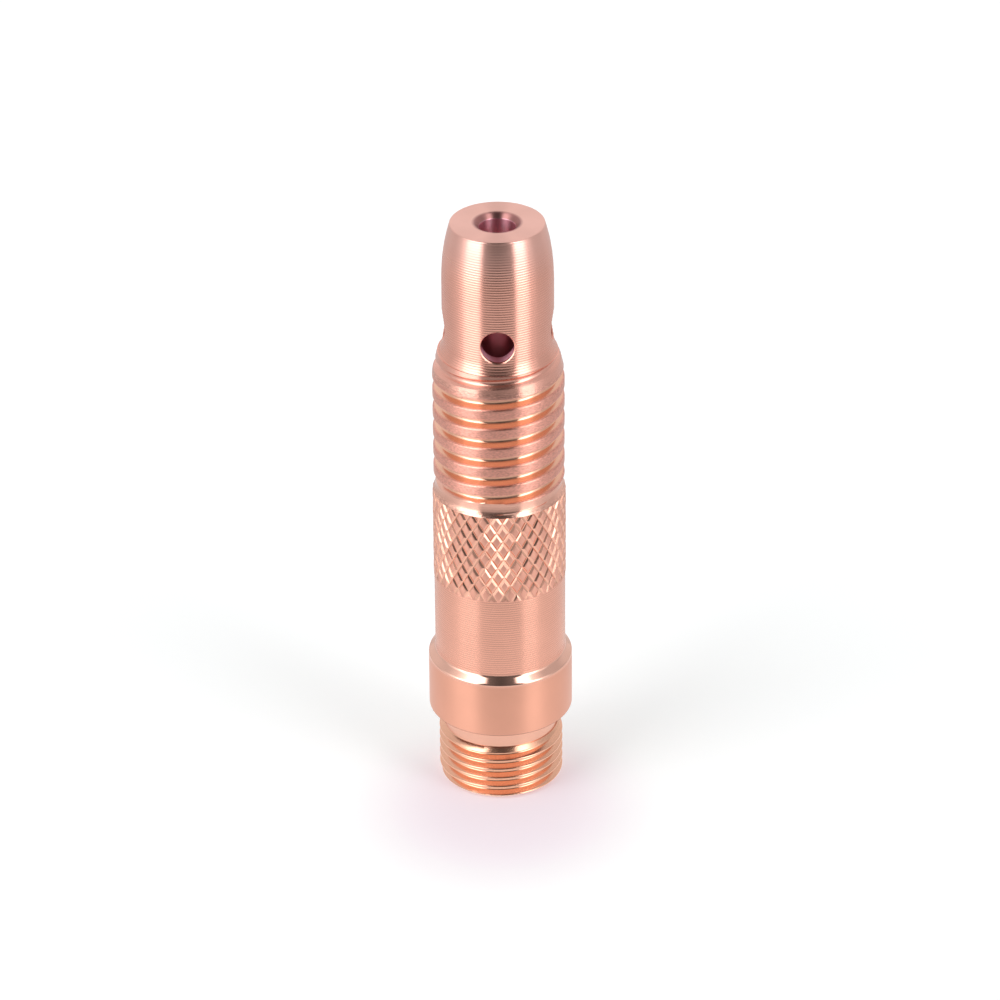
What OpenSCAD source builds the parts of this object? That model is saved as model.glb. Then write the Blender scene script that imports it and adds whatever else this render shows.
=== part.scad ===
// Collet body of a TIG welding torch, with the split collet that slides inside it.
// All sizes are in millimetres. The axis is +Z, the nose points up and the rear rim is at z = 0.

/* [Rear thread] */
// Major diameter of the thread that screws into the torch head
rear_thread_d = 9.525; // [9:0.025:10]
// Pitch of the rear thread
rear_pitch = 0.794; // [0.7:0.002:1]
// Length of the rear thread
rear_thread_len = 4.5; // [3.5:0.1:7]
// Radial depth of the rear thread
rear_thread_depth = 0.46; // [0.3:0.01:0.5]
// Chamfer where the rear thread starts
rear_chamfer = 0.35; // [0.2:0.05:0.5]
// Angle about the axis where the rear thread starts
rear_clock = 357; // [0:1:359]

/* [Relief neck] */
// Diameter of the relief neck behind the flange
relief_d = 8.7; // [8.3:0.1:9]
// Length of the relief neck
relief_len = 1.7; // [1:0.1:3]

/* [Flange] */
// Diameter of the stop flange
flange_d = 11; // [10.6:0.1:13]
// Length of the stop flange
flange_len = 4.65; // [3:0.05:7]
// Rounding of the flange's front edge
flange_round = 0.28; // [0.1:0.02:0.3]
// Chamfer of the flange's rear edge
flange_chamfer = 0.08; // [0.04:0.02:0.3]

/* [Barrel] */
// Diameter of the plain turned barrel
barrel_d = 9.95; // [9.9:0.01:10]
// Length of the plain barrel, from the flange to the knurl
barrel_len = 6.9; // [4:0.1:12]
// Radius of the fillet between the barrel and the flange
barrel_fillet = 0.45; // [0.1:0.05:0.5]

/* [Knurl] */
// Diameter over the knurled band
knurl_d = 10.04; // [10.02:0.01:10.2]
// Length of the knurled band
knurl_len = 7.2; // [4:0.1:10]
// Diamonds side by side around the band
knurl_count = 33; // [24:1:40]
// Height of one diamond along the axis
knurl_row = 1.53; // [1.2:0.01:2]
// Depth of the knurl grooves
knurl_depth = 0.14; // [0.08:0.01:0.16]
// Share of each diamond that its flat top takes
knurl_flat = 0.66; // [0.5:0.02:0.76]
// Angle about the axis where the diamonds start
knurl_clock = 262.2; // [258:0.2:268]
// Height of the lowest row of whole diamonds, as a share of a diamond
knurl_phase = 0.37; // [0.1:0.01:0.5]

/* [Land] */
// Diameter of the land between the knurl and the cup thread
land_d = 9.56; // [9.4:0.02:9.6]
// Length of the land
land_len = 1.1; // [0.6:0.1:2]

/* [Cup thread] */
// Major diameter of the thread that takes the gas cup
cup_thread_d = 9.85; // [9.7:0.01:10.2]
// Pitch of the cup thread
cup_pitch = 1.6; // [1.3:0.05:2]
// Length of the cup thread
cup_thread_len = 10.55; // [7:0.05:14]
// Radial depth of the V-shaped groove
cup_groove_depth = 0.6; // [0.3:0.02:0.7]
// Share of the pitch that the flat crest takes
cup_crest = 0.46; // [0.35:0.01:0.55]
// Angle about the axis where the cup thread starts
cup_clock = 270; // [0:1:359]
// Length of the thread's tapered start under the nose
cup_taper_len = 1.7; // [0.8:0.1:2.4]
// Diameter of the tapered start at its small end
cup_taper_d = 9.06; // [9:0.02:9.2]

/* [Nose] */
// Length of the nose ahead of the cup thread
nose_len = 10.4; // [9.5:0.1:16]
// Diameter of the nose's straight part
nose_d = 8.3; // [8:0.05:8.8]
// Diameter of the nose's conical foot where it leaves the thread
nose_foot_d = 8.92; // [8.84:0.02:8.94]
// Length of the nose's conical foot
nose_foot_len = 0.8; // [0.4:0.05:1]
// Diameter where the curved nose meets its end face
nose_tip_d = 7; // [6:0.1:7.6]
// Length of the curved part of the nose
nose_curve_len = 5; // [3:0.1:6]
// Rounding of the edge of the end face
nose_edge = 0.12; // [0.05:0.01:0.3]

/* [Gas holes] */
// Diameter of each gas hole
gas_hole_d = 2.5; // [1.5:0.1:2.7]
// Number of gas holes
gas_hole_count = 4; // [2:1:6]
// Distance from the gas holes' centres to the nose's end face
gas_hole_back = 8.25; // [8.1:0.05:8.6]
// Turn of the gas holes about the axis
gas_hole_clock = 269.2; // [255:0.2:285]
// Deburring chamfer round each gas hole
gas_hole_deburr = 0.1; // [0.05:0.01:0.2]

/* [Bores] */
// Diameter of the main bore that holds the collet
main_bore_d = 6.2; // [5.6:0.1:6.4]
// Diameter of the electrode's exit bore
exit_bore_d = 2.7; // [2.6:0.1:3.4]
// Distance from the nose's end face to the small end of the collet's seat
exit_bore_len = 3.4; // [2:0.1:3.6]
// Rounding of the exit bore's mouth
exit_round = 0.65; // [0.2:0.05:0.8]
// Angle between the axis and the collet's conical seat
seat_angle = 30; // [26:1:40]
// Chamfer at the rear end of the main bore
bore_chamfer = 0.3; // [0.1:0.05:0.5]

/* [Collet] */
// Outer diameter of the collet's tube
collet_d = 4.76; // [4.4:0.02:5]
// Outer diameter of the collet's slender gripping fingers
finger_d = 3.8; // [3.6:0.05:4.2]
// Length of the slender part, from its step to the tip
finger_len = 10; // [6:0.5:14]
// Diameter of the tungsten electrode that the collet is made for
electrode_d = 2.4; // [2.2:0.05:2.45]
// Difference in diameter between the relaxed collet's bore and the electrode
grip_clearance = 0.1; // [0.04:0.02:0.16]
// Number of slots that split the collet's nose
slot_count = 4; // [2:1:6]
// Width of each slot
slot_w = 0.45; // [0.3:0.05:0.5]
// Length of each slot, from the collet's tip
slot_len = 20; // [12:1:30]
// Diameter of the collet's tip
tip_d = 3; // [2.9:0.05:3.2]
// Chamfer at the collet's rear end
collet_chamfer = 0.2; // [0.1:0.05:0.3]
// Travel from rest to where the collet's nose meets the seat
collet_travel = 1.25; // [0.5:0.05:3]
// Height of the collet's rear end above the rear rim at rest
collet_rear = 0; // [0:0.1:1]

/* [Hidden] */

$fn = 64;
COPPER = [0.86, 0.60, 0.50];
DARK_COPPER = [0.72, 0.45, 0.35];

// How far one section runs into the next, and how far a cut runs past a face
lap = 0.4;
cut = 1;
// How far the faceted cores of the threads and the knurl stand proud of the turned blanks
thread_over = 0.05;
knurl_over = 0.03;
// Steps around one turn of a thread
thread_steps = 36;
// Segments of each turned rounding
round_steps = 8;
// Share of the pitch that the rear thread's flat crest and flat root take
rear_crest = 0.14;
rear_root = 0.16;
// Share of the pitch that the cup thread's flat root takes
cup_root = 0.1;
// How far the knurled blank tapers into the barrel under the band
knurl_taper = 0.3;
// Depth of the deburring cone of a gas hole
deburr_depth = 0.3;

// Heights of the sections, from the rear rim up
z_relief = rear_thread_len;
z_flange = z_relief + relief_len;
z_barrel = z_flange + flange_len;
z_knurl = z_barrel + barrel_len;
z_land = z_knurl + knurl_len;
z_cup_thread = z_land + land_len;
z_nose = z_cup_thread + cup_thread_len;
z_face = z_nose + nose_len;
z_gas_holes = z_face - gas_hole_back;

// The flange's rounded edge runs into the barrel's fillet. Where the two are wider than the flange's
// step, they meet at this angle, with no flat between them. Where the barrel is the wider of the two,
// the step and both curves turn outwards
shoulder_step = (flange_d - barrel_d) / 2;
shoulder_side = shoulder_step < 0 ? -1 : 1;
shoulder_over = -abs(shoulder_step) + barrel_fillet + flange_round;
shoulder_meet = shoulder_over > 0 ? acos(shoulder_over / (barrel_fillet + flange_round)) : 90;
z_fillet = z_barrel - flange_round + (barrel_fillet + flange_round) * sin(shoulder_meet);

// The nose's curve is an arc that leaves the straight part without a corner
nose_drop = (nose_d - nose_tip_d) / 2;
nose_arc_r = (nose_curve_len * nose_curve_len + nose_drop * nose_drop) / (2 * nose_drop);
nose_arc_angle = asin(nose_curve_len / nose_arc_r);
z_curve = z_face - nose_curve_len;

// The conical seat joins the main bore to the exit bore
z_seat_top = z_face - exit_bore_len;
z_seat = z_seat_top - (main_bore_d - exit_bore_d) / 2 / tan(seat_angle);

// The collet's nose cone has the seat's angle, and meets the seat after collet_travel
z_cone = z_seat_top - (finger_d - exit_bore_d) / 2 / tan(seat_angle) - collet_travel;
z_tip = z_cone + (finger_d - tip_d) / 2 / tan(seat_angle);
z_step = z_tip - finger_len;
grip_bore_d = electrode_d + grip_clearance;

// ---- Threads and knurl ----

// A groove with straight flanks and a narrow flat root, as [share of the pitch, radius] points from the
// crest upwards. The flanks run on past the true major radius, to the height at which the core stands proud
function vee_groove(major, depth, crest, root) =
    let (flank = (1 - crest - root) / 2, over = flank * thread_over / depth)
    [[over, major + thread_over], [crest - over, major + thread_over],
     [crest + flank, major - depth], [1 - flank, major - depth]];

// A closed solid with a right-hand thread on it, from below z = 0 to above z = len
module threaded_core(profile, pitch, len) {
    rows = len(profile);
    turns = ceil(len / pitch) + 2;
    last = rows * turns;
    start = -pitch * 1.5;
    // Each column climbs one row of the profile at a time, and the first has one more turn
    columns = [for (i = [0 : thread_steps - 1])
        [for (m = [0 : last + (i == 0 ? rows : 0)])
            let (p = profile[m % rows], a = 360 * i / thread_steps)
            [p[1] * cos(a), p[1] * sin(a),
             start + pitch * (floor(m / rows) + p[0] + i / thread_steps)]]];
    wall_points = [for (column = columns) each column];
    bottom = len(wall_points);
    top = bottom + 1;
    points = concat(wall_points, [[0, 0, start - pitch], [0, 0, start + pitch * (turns + 2)]]);
    // Index of row m in column i, where the column after the last is the first, one turn higher
    function at(i, m) = i == 0 ? m
        : i == thread_steps ? m + rows
        : last + rows + 1 + (i - 1) * (last + 1) + m;
    wall = [for (i = [0 : thread_steps - 1]) for (m = [0 : last - 1])
        each [[at(i, m), at(i, m + 1), at(i + 1, m + 1)], [at(i, m), at(i + 1, m + 1), at(i + 1, m)]]];
    caps = [for (i = [0 : thread_steps - 1])
        each [[bottom, at(i, 0), at(i + 1, 0)], [top, at(i + 1, last), at(i, last)]]];
    ends = [for (m = [0 : rows - 1])
        each [[bottom, at(0, m + 1), at(0, m)], [top, at(0, last + m), at(0, last + m + 1)]]];
    polyhedron(points = points, faces = concat(wall, caps, ends));
}

// A closed solid with crossed knurl grooves on it, from below z = 0 to above z = knurl_len
module knurled_core() {
    half = knurl_row / 2;
    rows = ceil(knurl_len / half) + 3;
    start = (knurl_phase - 1.5) * knurl_row / 1.5;
    step = 360 / knurl_count;
    low = knurl_d / 2 - knurl_depth;
    high = knurl_d / 2 + knurl_over;
    // The flat tops shrink as the grooves' walls run on up past the turned blank
    flat = 1 - (1 - knurl_flat) * (knurl_depth + knurl_over) / knurl_depth;
    function turn(j, i) = step * (i + (j % 2) / 2);
    function spot(r, a, z) = [r * cos(a), r * sin(a), z];
    crossings = [for (j = [0 : rows]) for (i = [0 : knurl_count - 1])
        spot(low, turn(j, i), start + half * j)];
    // Right, top, left and bottom corners of the flat top between crossings i and i + 1 of row j
    tops = [for (j = [1 : rows - 1]) for (i = [0 : knurl_count - 1])
        let (a = turn(j, i) + step / 2, z = start + half * j)
        each [spot(high, a + flat * step / 2, z), spot(high, a, z + flat * half),
              spot(high, a - flat * step / 2, z), spot(high, a, z - flat * half)]];
    first_top = len(crossings);
    bottom = first_top + len(tops);
    top = bottom + 1;
    points = concat(crossings, tops,
        [spot(0, 0, start - half), spot(0, 0, start + half * (rows + 1))]);
    function cross_at(j, i) = j * knurl_count + (i + knurl_count) % knurl_count;
    function top_at(j, i, k) = first_top + ((j - 1) * knurl_count + i) * 4 + k;
    // Around the diamond between crossings i and i + 1 of row j: right, above, left, below
    function ring(j, i) =
        let (side = i + (j % 2))
        [cross_at(j, i + 1), cross_at(j + 1, side), cross_at(j, i), cross_at(j - 1, side)];
    diamonds = [for (j = [1 : rows - 1]) for (i = [0 : knurl_count - 1])
        let (r = ring(j, i), t = [for (k = [0 : 3]) top_at(j, i, k)])
        each concat(
            [[t[0], t[2], t[1]], [t[0], t[3], t[2]]],
            [for (k = [0 : 3]) let (n = (k + 1) % 4)
                each [[r[k], t[k], t[n]], [r[k], t[n], r[n]]]])];
    rims = [for (i = [0 : knurl_count - 1])
        each [
            [cross_at(0, i), cross_at(1, i), cross_at(0, i + 1)],
            [bottom, cross_at(0, i), cross_at(0, i + 1)],
            [cross_at(rows, i), cross_at(rows, i + 1), cross_at(rows - 1, i + (rows % 2))],
            [top, cross_at(rows, i + 1), cross_at(rows, i)]]];
    polyhedron(points = points, faces = concat(diamonds, rims));
}

// ---- Turned blanks, each as a profile of [radius, height] points ----

// Points of a quarter-round edge about a centre, from one angle to another
function arc(cx, cz, r, from, to) = [for (k = [0 : round_steps])
    let (a = from + (to - from) * k / round_steps)
    [cx + r * cos(a), cz + r * sin(a)]];

module turned(profile) {
    rotate_extrude() polygon(profile);
}

// The bar of the rear thread, with a chamfer at each end
module rear_blank() {
    r = rear_thread_d / 2;
    turned([
        [0, 0],
        [r - rear_chamfer, 0],
        [r, rear_chamfer],
        [r, rear_thread_len - rear_chamfer],
        [r - rear_chamfer, rear_thread_len],
        [0, rear_thread_len]
    ]);
}

module rear_thread() {
    intersection() {
        rear_blank();
        rotate([0, 0, rear_clock])
            threaded_core(vee_groove(rear_thread_d / 2, rear_thread_depth, rear_crest, rear_root),
                rear_pitch, rear_thread_len);
    }
}

// The relief neck, the stop flange and the plain barrel, turned in one pass
module barrel() {
    neck_r = relief_d / 2;
    flange_r = flange_d / 2;
    barrel_r = barrel_d / 2;
    turned(concat(
        [
            [0, z_relief - lap],
            [neck_r, z_relief - lap],
            [neck_r, z_flange],
            [flange_r - flange_chamfer, z_flange],
            [flange_r, z_flange + flange_chamfer]
        ],
        arc(flange_r - shoulder_side * flange_round, z_barrel - flange_round, flange_round,
            90 - shoulder_side * 90, 90 - shoulder_side * (90 - shoulder_meet)),
        arc(barrel_r + shoulder_side * barrel_fillet, z_fillet, barrel_fillet,
            90 + shoulder_side * (90 + shoulder_meet), 90 + shoulder_side * 90),
        [
            [barrel_r, z_knurl + knurl_taper / 4],
            [0, z_knurl + knurl_taper / 4]
        ]
    ));
}

// The bar of the knurled band, whose lower end tapers down inside the barrel
module knurl_blank() {
    r = knurl_d / 2;
    turned([
        [0, -knurl_taper],
        [r - knurl_taper, -knurl_taper],
        [r, 0],
        [r, knurl_len],
        [0, knurl_len]
    ]);
}

module knurl() {
    translate([0, 0, z_knurl]) intersection() {
        knurl_blank();
        rotate([0, 0, knurl_clock]) knurled_core();
    }
}

// The bar of the land and the cup thread, which tapers towards the nose
module cup_blank() {
    land_r = land_d / 2;
    r = cup_thread_d / 2;
    turned([
        [0, -land_len - lap],
        [land_r, -land_len - lap],
        [land_r, 0],
        [r, 0],
        [r, cup_thread_len - cup_taper_len],
        [cup_taper_d / 2, cup_thread_len],
        [0, cup_thread_len]
    ]);
}

module cup_thread() {
    translate([0, 0, z_cup_thread]) intersection() {
        cup_blank();
        rotate([0, 0, cup_clock])
            threaded_core(vee_groove(cup_thread_d / 2, cup_groove_depth, cup_crest, cup_root),
                cup_pitch, cup_thread_len);
    }
}

// The nose, from its conical foot to its flat end face
module nose() {
    r = nose_d / 2;
    foot_r = nose_foot_d / 2;
    tip_r = nose_tip_d / 2;
    turned(concat(
        [
            [0, z_nose - lap],
            [foot_r - lap / 4, z_nose - lap],
            [foot_r, z_nose],
            [r, z_nose + nose_foot_len]
        ],
        [for (k = [0 : 2 * round_steps])
            let (a = nose_arc_angle * k / (2 * round_steps))
            [r - nose_arc_r * (1 - cos(a)), z_curve + nose_arc_r * sin(a) - nose_edge * k / (2 * round_steps)]],
        [
            [tip_r - nose_edge * 0.35, z_face - nose_edge * 0.4],
            [tip_r - nose_edge, z_face],
            [0, z_face]
        ]
    ));
}

// ---- Cuts ----

// The main bore, the collet's conical seat and the exit bore with its rounded mouth
module bores() {
    main_r = main_bore_d / 2;
    exit_r = exit_bore_d / 2;
    turned(concat(
        [
            [0, -cut],
            [main_r + bore_chamfer + cut, -cut],
            [main_r, bore_chamfer],
            [main_r, z_seat],
            [exit_r, z_seat_top]
        ],
        arc(exit_r + exit_round, z_face - exit_round, exit_round, 180, 90),
        [
            [exit_r + exit_round, z_face + cut],
            [0, z_face + cut]
        ]
    ));
}

// One gas hole with its deburred mouth, drilled along +X
module gas_hole() {
    r = gas_hole_d / 2;
    mouth = nose_d / 2;
    rotate([0, 90, 0]) turned([
        [0, 0],
        [r, 0],
        [r, mouth - deburr_depth],
        [r + gas_hole_deburr, mouth],
        [r + gas_hole_deburr, mouth + cut],
        [0, mouth + cut]
    ]);
}

// ---- Parts ----

module collet_body() {
    color(COPPER) difference() {
        union() {
            rear_thread();
            barrel();
            knurl();
            cup_thread();
            nose();
        }
        bores();
        for (i = [0 : gas_hole_count - 1])
            rotate([0, 0, gas_hole_clock + 360 * i / gas_hole_count])
                translate([0, 0, z_gas_holes])
                    gas_hole();
    }
}

// One slot with a round end, cut outwards from the axis along +X
module slot() {
    z_end = z_tip - slot_len + slot_w / 2;
    translate([0, -slot_w / 2, z_end])
        cube([collet_d, slot_w, slot_len + cut]);
    translate([0, 0, z_end])
        rotate([0, 90, 0])
            cylinder(h = collet_d, d = slot_w);
}

module collet() {
    tube_r = collet_d / 2;
    finger_r = finger_d / 2;
    color(DARK_COPPER) difference() {
        turned([
            [0, collet_rear],
            [tube_r - collet_chamfer, collet_rear],
            [tube_r, collet_rear + collet_chamfer],
            [tube_r, z_step - (tube_r - finger_r)],
            [finger_r, z_step],
            [finger_r, z_cone],
            [tip_d / 2, z_tip],
            [0, z_tip]
        ]);
        translate([0, 0, -cut]) cylinder(h = z_face, d = grip_bore_d);
        for (i = [0 : slot_count - 1])
            rotate([0, 0, gas_hole_clock + 360 * (i + 0.5) / slot_count])
                slot();
    }
}

collet_body();
collet();
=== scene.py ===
"""Copper collet body of a TIG torch with its split collet, on a pale table in studio light.

Every mesh is made in millimetres with bmesh operators and brought to metres at the end.
Lengths are in millimetres and angles in degrees, unless their line says otherwise.
The axis of the part is +Z, the nose points up, and the camera stands on the -Y side.
"""

import logging
import math
import random
from dataclasses import dataclass
from enum import Enum
from typing import Callable, Mapping, Sequence

import bmesh
import bpy
from mathutils import Matrix, Vector


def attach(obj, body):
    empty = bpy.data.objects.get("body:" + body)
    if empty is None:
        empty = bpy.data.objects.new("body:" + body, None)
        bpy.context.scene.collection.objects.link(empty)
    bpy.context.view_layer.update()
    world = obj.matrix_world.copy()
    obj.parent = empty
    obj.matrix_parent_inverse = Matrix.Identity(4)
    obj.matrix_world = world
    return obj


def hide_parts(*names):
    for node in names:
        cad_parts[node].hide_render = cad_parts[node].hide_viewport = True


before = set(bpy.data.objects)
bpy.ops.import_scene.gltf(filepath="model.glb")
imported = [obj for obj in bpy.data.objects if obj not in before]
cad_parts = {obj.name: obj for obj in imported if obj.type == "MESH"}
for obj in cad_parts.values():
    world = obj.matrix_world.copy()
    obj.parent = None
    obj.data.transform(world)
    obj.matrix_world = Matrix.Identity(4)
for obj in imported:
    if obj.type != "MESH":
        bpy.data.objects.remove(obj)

LOG = logging.getLogger("collet_body")
Point = tuple[float, float]
Rgb = tuple[float, float, float]
Quad = tuple[float, float, float, float]
BMesh = bmesh.types.BMesh
BMVert = bmesh.types.BMVert
BMEdge = bmesh.types.BMEdge
Geometry = Sequence[BMVert | BMEdge | bmesh.types.BMFace]
Socket = bpy.types.NodeSocket
Material = bpy.types.Material
Piece = bpy.types.Object
Feed = Socket | float | Sequence[float]
Inputs = Mapping[str | int, Feed]

# One millimetre in metres
MM = 0.001
# Heights where the sections of the body meet, from the rear rim up
Z_REAR = 0.0
Z_NECK = 4.5
Z_FLANGE = 6.2
Z_SHOULDER = 10.85
Z_KNURL = 17.75
Z_LAND = 24.95
Z_NOSE = 36.6
Z_FACE = 47.0
# Radius of the main bore
BORE_R = 3.1
# Turn of the first gas hole about the axis, which the collet's slots follow too
HOLE_TURN = 269.2


# ---- node trees


class NodeWeb:
    """A node tree, with short calls that add a node, feed its inputs and give its result."""

    def __init__(self, owner: Material | bpy.types.World) -> None:
        """Switches the nodes of a material or a world on and empties its tree.

        Args:
            owner: The material or the world.
        """
        owner.use_nodes = True
        self.nodes = owner.node_tree.nodes
        self.links = owner.node_tree.links
        self.nodes.clear()

    def add(self, kind: str, inputs: Inputs, operation: str = "") -> bpy.types.Node:
        """Adds a node and feeds its inputs.

        Args:
            kind: Kind of the node, without its prefix.
            inputs: The socket to link or the constant to set, by the input's name or number.
            operation: What the node works out, if it is one for sums.

        Returns:
            The node.
        """
        node = self.nodes.new(f"ShaderNode{kind}")
        if operation:
            node.operation = operation
        for key, value in inputs.items():
            if isinstance(value, Socket):
                self.links.new(value, node.inputs[key])
            else:
                node.inputs[key].default_value = value
        return node

    def math(self, operation: str, *values: Feed) -> Socket:
        """The result of a sum on numbers."""
        return self.add("Math", dict(enumerate(values)), operation).outputs[0]

    def vector(self, operation: str, inputs: Inputs, result: str = "Vector") -> Socket:
        """The vector or the value that a sum on vectors gives."""
        return self.add("VectorMath", inputs, operation).outputs[result]

    def mix(self, share: Socket, first: Feed, second: Feed) -> Socket:
        """A number that goes from the first to the second as the share rises."""
        return self.add("Mix", {0: share, 2: first, 3: second}).outputs[0]

    def mix_tones(self, share: Socket, first: Feed, second: Feed) -> Socket:
        """A colour that goes from the first to the second as the share rises.

        Args:
            share: Share of the second.
            first: Colour at a share of 0.
            second: Colour at a share of 1.

        Returns:
            The socket with the colour.
        """
        node = self.add("Mix", {0: share, 6: first, 7: second})
        node.data_type = "RGBA"
        return node.outputs[2]

    def remap(self, value: Socket, source: Point, target: Point = (0.0, 1.0), smooth: bool = False) -> Socket:
        """Brings a number from one range to another and holds it there.

        Args:
            value: The number.
            source: The range that it comes from.
            target: The range that it goes to.
            smooth: True for a soft start and end.

        Returns:
            The socket with the result.
        """
        ends = {"From Min": source[0], "From Max": source[1], "To Min": target[0], "To Max": target[1]}
        node = self.add("MapRange", {"Value": value, **ends})
        if smooth:
            node.interpolation_type = "SMOOTHSTEP"
        return node.outputs[0]

    def noise(self, place: Socket, size: float, detail: float) -> Socket:
        """A random pattern whose grains have a size in millimetres."""
        inputs = {"Vector": place, "Scale": 1.0 / (size * MM), "Detail": detail}
        return self.add("TexNoise", inputs).outputs["Fac"]


# ---- finishes


def shade_of(srgb: Sequence[float]) -> Quad:
    """A display colour from 0 to 255 as a linear colour with full alpha.

    Args:
        srgb: Red, green and blue as a display shows them.

    Returns:
        The linear red, green, blue and alpha.
    """
    linear = [(c / 255 / 12.92) if c <= 10 else ((c / 255 + 0.055) / 1.055) ** 2.4 for c in srgb]
    return (linear[0], linear[1], linear[2], 1.0)


@dataclass(frozen=True)
class Zone:
    """A part of a surface with its own tone and roughness, bounded by a radius and two heights.

    Attributes:
        tone: Its display colour.
        roughness: Its roughness.
        radius: Radius inside which the zone lies.
        above: Height above which it lies.
        below: Height below which it lies.
        fade: Half the width of the soft border.
    """

    tone: Rgb
    roughness: float
    radius: float = 100.0
    above: float = -100.0
    below: float = 100.0
    fade: float = 0.04

    def mask(self, web: NodeWeb, radius: Socket, height: Socket) -> Socket:
        """How far a point lies in the zone, from 0 to 1.

        Args:
            web: The node tree to add to.
            radius: The point's distance from the axis, in metres.
            height: The point's height, in metres.

        Returns:
            The socket with the share.
        """
        def border(value: Socket, edge: float, target: Point) -> Socket:
            """A soft step where the value crosses an edge of the zone."""
            return web.remap(value, ((edge - self.fade) * MM, (edge + self.fade) * MM), target)

        inside = border(radius, self.radius, (1.0, 0.0))
        under = border(height, self.below, (1.0, 0.0))
        over = border(height, self.above, (0.0, 1.0))
        return web.math("MULTIPLY", web.math("MULTIPLY", inside, under), over)


@dataclass(frozen=True)
class CopperFinish:
    """A copper surface with turning rings, fine scratches and slight changes of tone.

    Attributes:
        name: Name of the material.
        tone: Display colour of the bare copper.
        roughness: Mean roughness.
        mottle: Strength of the slow patches of tone.
        ring_pitch: Distance between turning rings.
        grit: Height of the fine random texture.
        grit_size: Size of the fine random texture.
        spread: How far the roughness wanders from ring to ring.
        ring_depth: Height of a turning ring.
        anisotropy: How much the rings stretch a reflection along the axis; 0 where the surface is pressed.
        speckle: Strength of the fine pale and dark specks.
        torn_from: Radius from which the fine texture and the specks set in; 0 is everywhere.
        torn_fade: Half the width of that border.
        torn_stretch: How the fine texture is squeezed along X, Y and Z where the surface is torn.
        ring_lean: How much the rings change with the radius, as against the height.
        patch_size: Size of the slow patches.
        zones: Zones with a tone and roughness of their own, from the outermost in.
    """

    name: str
    tone: Rgb
    roughness: float
    mottle: float
    ring_pitch: float
    grit: float
    grit_size: float
    spread: float = 0.03
    ring_depth: float = 0.002
    anisotropy: float = 0.0
    speckle: float = 0.0
    torn_from: float = 0.0
    torn_fade: float = 0.03
    torn_stretch: Rgb = (0.4, 0.4, 1.0)
    ring_lean: float = 0.8
    patch_size: float = 2.4
    zones: tuple[Zone, ...] = ()

    def material(self) -> Material:
        """Builds the node material of this finish.

        Returns:
            The material.
        """
        mat = bpy.data.materials.new(self.name)
        web = NodeWeb(mat)
        place = web.add("TexCoord", {}).outputs["Object"]
        height = web.add("SeparateXYZ", {0: place}).outputs["Z"]
        level = web.vector("MULTIPLY", {0: place, 1: (1.0, 1.0, 0.0)})
        radius = web.vector("LENGTH", {0: level}, "Value")

        # The rings' noise changes along the profile only, so each ring has its own height
        along = web.math("MULTIPLY_ADD", radius, self.ring_lean, height)
        rings = web.noise(web.add("CombineXYZ", {"Z": along}).outputs[0], self.ring_pitch, 2.0)
        grit_place = place
        if self.torn_from:
            grit_place = web.add("Mapping", {"Vector": place, "Scale": self.torn_stretch}).outputs[0]
        grit = web.noise(grit_place, self.grit_size, 3.0)
        border = ((self.torn_from - self.torn_fade) * MM, (self.torn_from + self.torn_fade) * MM)
        torn = web.remap(radius, border, (0.1, 1.0))

        tone: Feed = shade_of(self.tone)
        smoothest = max(0.02, self.roughness - self.spread)
        rough = web.remap(rings, (0.25, 0.75), (smoothest, self.roughness + self.spread))
        for zone in self.zones:
            mask = zone.mask(web, radius, height)
            tone = web.mix_tones(mask, tone, shade_of(zone.tone))
            rough = web.mix(mask, rough, zone.roughness)

        # Slow patches and fine specks make the tone a little darker or paler
        light = web.remap(web.noise(place, self.patch_size, 4.0), (0.3, 0.75), (1.0, 1.0 - self.mottle))
        if self.speckle:
            specks = web.remap(grit, (0.35, 0.65), (-self.speckle, self.speckle * 0.5))
            light = web.math("MULTIPLY", light, web.math("MULTIPLY_ADD", specks, torn, 1.0))

        ring_bump = web.add("Bump", {"Distance": self.ring_depth * MM, "Height": rings}).outputs[0]
        grit_inputs = {"Distance": self.grit * MM, "Height": grit, "Strength": torn, "Normal": ring_bump}
        surface = {
            "Metallic": 1.0,
            "Base Color": web.vector("SCALE", {0: tone if self.zones else tone[:3], "Scale": light}),
            "Roughness": rough,
            "Normal": web.add("Bump", grit_inputs).outputs[0],
        }
        if self.anisotropy:
            tangent = web.add("Tangent", {})
            tangent.direction_type = "RADIAL"
            tangent.axis = "Z"
            stretch = {"Anisotropic": self.anisotropy, "Anisotropic Rotation": 0.25}
            surface |= {**stretch, "Tangent": tangent.outputs[0]}
        web.add("OutputMaterial", {"Surface": web.add("BsdfPrincipled", surface).outputs["BSDF"]})
        return mat


# ---- mesh tools


def arc(cx: float, cz: float, r: float, start: float, end: float, steps: int) -> list[Point]:
    """Points of an arc as (radius, height) pairs.

    Args:
        cx: Radius of the arc's centre.
        cz: Height of the arc's centre.
        r: Radius of the arc itself.
        start: Angle of the first point.
        end: Angle of the last point.
        steps: Number of segments.

    Returns:
        The points, both ends included.
    """
    turn = [math.radians(start + (end - start) * k / steps) for k in range(steps + 1)]
    return [(cx + r * math.cos(a), cz + r * math.sin(a)) for a in turn]


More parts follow.
